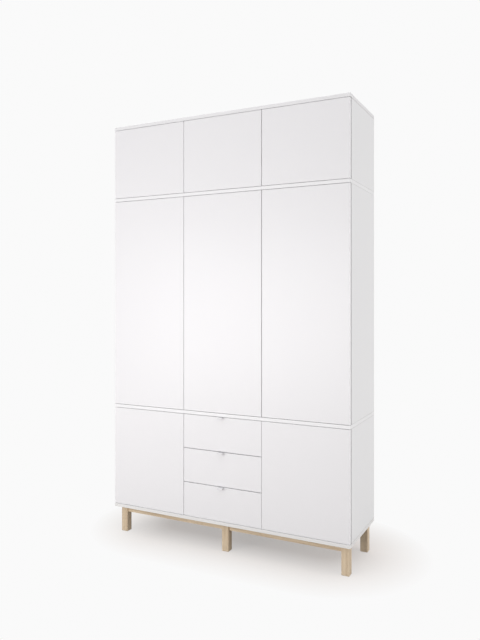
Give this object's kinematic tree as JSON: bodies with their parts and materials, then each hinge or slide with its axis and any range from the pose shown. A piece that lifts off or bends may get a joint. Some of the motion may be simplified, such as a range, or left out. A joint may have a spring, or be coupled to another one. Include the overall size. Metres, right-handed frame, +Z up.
{
  "type": "wardrobe with top unit",
  "caption": "White wardrobe with a top unit on square oak legs: handle-free hinged doors over a low row with drawers between doors.",
  "frame": {"origin": "on the floor, under the middle of the whole object's box, pulls included", "axes": "+X to the right as seen from the front, the fronts face -Y, +Z up"},
  "size_m": [1.4, 0.456, 2.334],
  "materials": {
    "white_board": "satin white faced board",
    "white_sheet": "white faced fibreboard",
    "oak": "pale oak, matt lacquer",
    "white_metal": "satin white paint",
    "zinc_steel": "zinc plated",
    "chrome": "polished"
  },
  "bodies": {
    "carcass": {"base_back": "white_sheet", "base_left_divider": "white_board", "base_left_hinges": "zinc_steel", "base_left_side": "white_board", "base_right_divider": "white_board", "base_right_hinges": "zinc_steel", "base_right_side": "white_board", "bottom_board": "white_board", "front_rail": "oak", "hanging_rail": "chrome", "hat_shelf": "white_board", "left_shelf_1": "white_board", "left_shelf_2": "white_board", "leg_front_left": "oak", "leg_front_middle": "oak", "leg_front_right": "oak", "leg_rear_left": "oak", "leg_rear_middle": "oak", "leg_rear_right": "oak", "lower_board": "white_board", "lower_drawer_left_runner": "zinc_steel", "lower_drawer_right_runner": "zinc_steel", "middle_drawer_left_runner": "zinc_steel", "middle_drawer_right_runner": "zinc_steel", "rear_rail": "oak", "tall_back": "white_sheet", "tall_divider": "white_board", "tall_left_hinges": "zinc_steel", "tall_left_side": "white_board", "tall_middle_hinges": "zinc_steel", "tall_right_hinges": "zinc_steel", "tall_right_side": "white_board", "top_back": "white_sheet", "top_board": "white_board", "top_divider": "white_board", "top_left_hinges": "zinc_steel", "top_left_side": "white_board", "top_middle_hinges": "zinc_steel", "top_right_hinges": "zinc_steel", "top_right_side": "white_board", "upper_board": "white_board", "upper_drawer_left_runner": "zinc_steel", "upper_drawer_right_runner": "zinc_steel"},
    "base_left_door": {"base_left_door": "white_board"},
    "base_right_door": {"base_right_door": "white_board"},
    "tall_left_door": {"tall_left_door": "white_board"},
    "tall_middle_door": {"tall_middle_door": "white_board"},
    "tall_right_door": {"tall_right_door": "white_board"},
    "top_left_door": {"top_left_door": "white_board"},
    "top_middle_door": {"top_middle_door": "white_board"},
    "top_right_door": {"top_right_door": "white_board"},
    "lower_drawer": {"lower_drawer_front": "white_board", "lower_drawer_pull": "white_metal", "lower_drawer_box": "white_board"},
    "middle_drawer": {"middle_drawer_front": "white_board", "middle_drawer_pull": "white_metal", "middle_drawer_box": "white_board"},
    "upper_drawer": {"upper_drawer_front": "white_board", "upper_drawer_pull": "white_metal", "upper_drawer_box": "white_board"}
  },
  "joints": [
    {"name": "base_left_door_hinge", "type": "hinge", "parent": "carcass", "child": "base_left_door", "pos_m": [-0.69875, -0.206, 0.172], "axis": [0, 0, -1], "range_deg": [0, 100]},
    {"name": "base_right_door_hinge", "type": "hinge", "parent": "carcass", "child": "base_right_door", "pos_m": [0.69875, -0.206, 0.172], "axis": [0, 0, 1], "range_deg": [0, 100]},
    {"name": "tall_left_door_hinge", "type": "hinge", "parent": "carcass", "child": "tall_left_door", "pos_m": [-0.69875, -0.206, 0.744], "axis": [0, 0, -1], "range_deg": [0, 100]},
    {"name": "tall_middle_door_hinge", "type": "hinge", "parent": "carcass", "child": "tall_middle_door", "pos_m": [-0.23208, -0.206, 0.744], "axis": [0, 0, -1], "range_deg": [0, 100]},
    {"name": "tall_right_door_hinge", "type": "hinge", "parent": "carcass", "child": "tall_right_door", "pos_m": [0.69875, -0.206, 0.744], "axis": [0, 0, 1], "range_deg": [0, 100]},
    {"name": "top_left_door_hinge", "type": "hinge", "parent": "carcass", "child": "top_left_door", "pos_m": [-0.69875, -0.206, 1.925], "axis": [0, 0, -1], "range_deg": [0, 100]},
    {"name": "top_middle_door_hinge", "type": "hinge", "parent": "carcass", "child": "top_middle_door", "pos_m": [-0.23208, -0.206, 1.925], "axis": [0, 0, -1], "range_deg": [0, 100]},
    {"name": "top_right_door_hinge", "type": "hinge", "parent": "carcass", "child": "top_right_door", "pos_m": [0.69875, -0.206, 1.925], "axis": [0, 0, 1], "range_deg": [0, 100]},
    {"name": "lower_drawer_slide", "type": "slide", "parent": "carcass", "child": "lower_drawer", "axis": [0, -1, 0], "range_m": [0, 0.3]},
    {"name": "middle_drawer_slide", "type": "slide", "parent": "carcass", "child": "middle_drawer", "axis": [0, -1, 0], "range_m": [0, 0.3]},
    {"name": "upper_drawer_slide", "type": "slide", "parent": "carcass", "child": "upper_drawer", "axis": [0, -1, 0], "range_m": [0, 0.3]}
  ]
}
